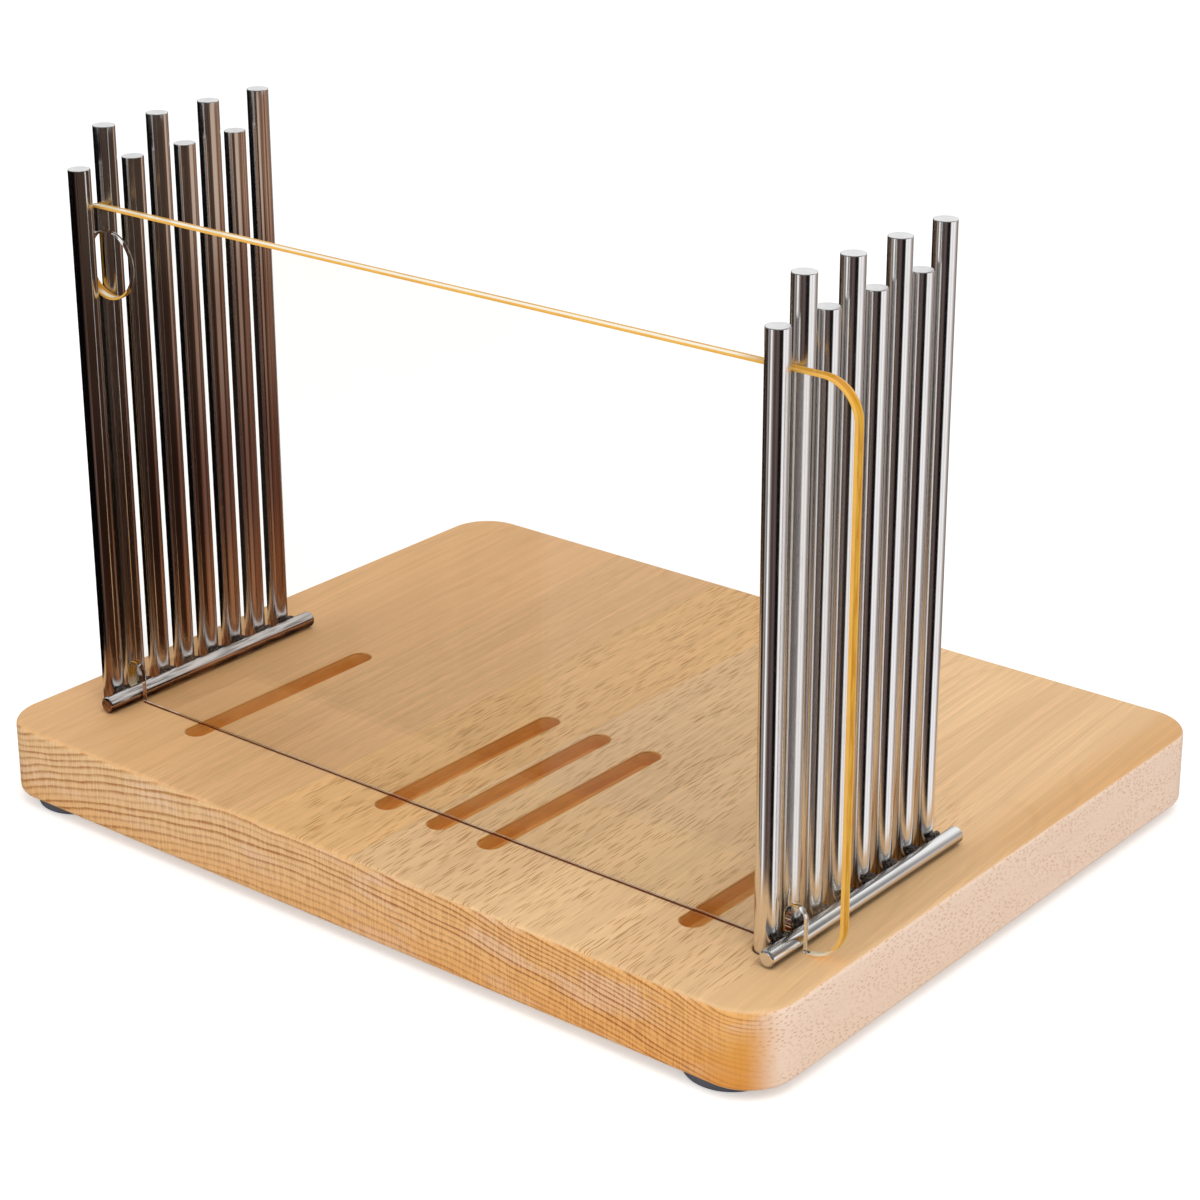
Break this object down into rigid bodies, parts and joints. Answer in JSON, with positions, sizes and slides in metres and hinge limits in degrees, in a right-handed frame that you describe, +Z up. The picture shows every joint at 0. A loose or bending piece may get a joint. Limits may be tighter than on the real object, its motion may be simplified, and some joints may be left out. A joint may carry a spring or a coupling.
{
  "type": "bread slicer guide",
  "caption": "Wooden slicing board with two lift-out fences of upright steel rods, which guide the knife, and a clear guard plate across them.",
  "frame": {"origin": "on the table, under the middle of the board", "axes": "+X along the board's front edge to the right, +Y from the front to the back, +Z up"},
  "size_m": [0.35, 0.275, 0.2495],
  "materials": {
    "board": "oiled beech, glued up from staves",
    "fence": "mirror-polished stainless steel rod",
    "plate": "clear polished acrylic with amber edges",
    "foot": "matt grey rubber"
  },
  "bodies": {
    "base": {"board": "board", "foot_front_left": "foot", "foot_front_right": "foot", "foot_back_left": "foot", "foot_back_right": "foot"},
    "left_fence": {"left_rod_1": "fence", "left_rod_2": "fence", "left_rod_3": "fence", "left_rod_4": "fence", "left_rod_5": "fence", "left_rod_6": "fence", "left_rod_7": "fence", "left_rod_8": "fence", "left_rail": "fence"},
    "right_fence": {"right_rod_1": "fence", "right_rod_2": "fence", "right_rod_3": "fence", "right_rod_4": "fence", "right_rod_5": "fence", "right_rod_6": "fence", "right_rod_7": "fence", "right_rod_8": "fence", "right_rail": "fence"},
    "guard": {"guard_plate": "plate"}
  },
  "joints": [
    {"name": "plate_lift", "type": "slide", "parent": "base", "child": "guard", "axis": [0, 0, 1], "range_m": [0, 0.2]},
    {"name": "left_fence_lift", "type": "slide", "parent": "base", "child": "left_fence", "axis": [0, 0, 1], "range_m": [0, 0.0065]},
    {"name": "right_fence_lift", "type": "slide", "parent": "base", "child": "right_fence", "axis": [0, 0, 1], "range_m": [0, 0.0065]}
  ]
}
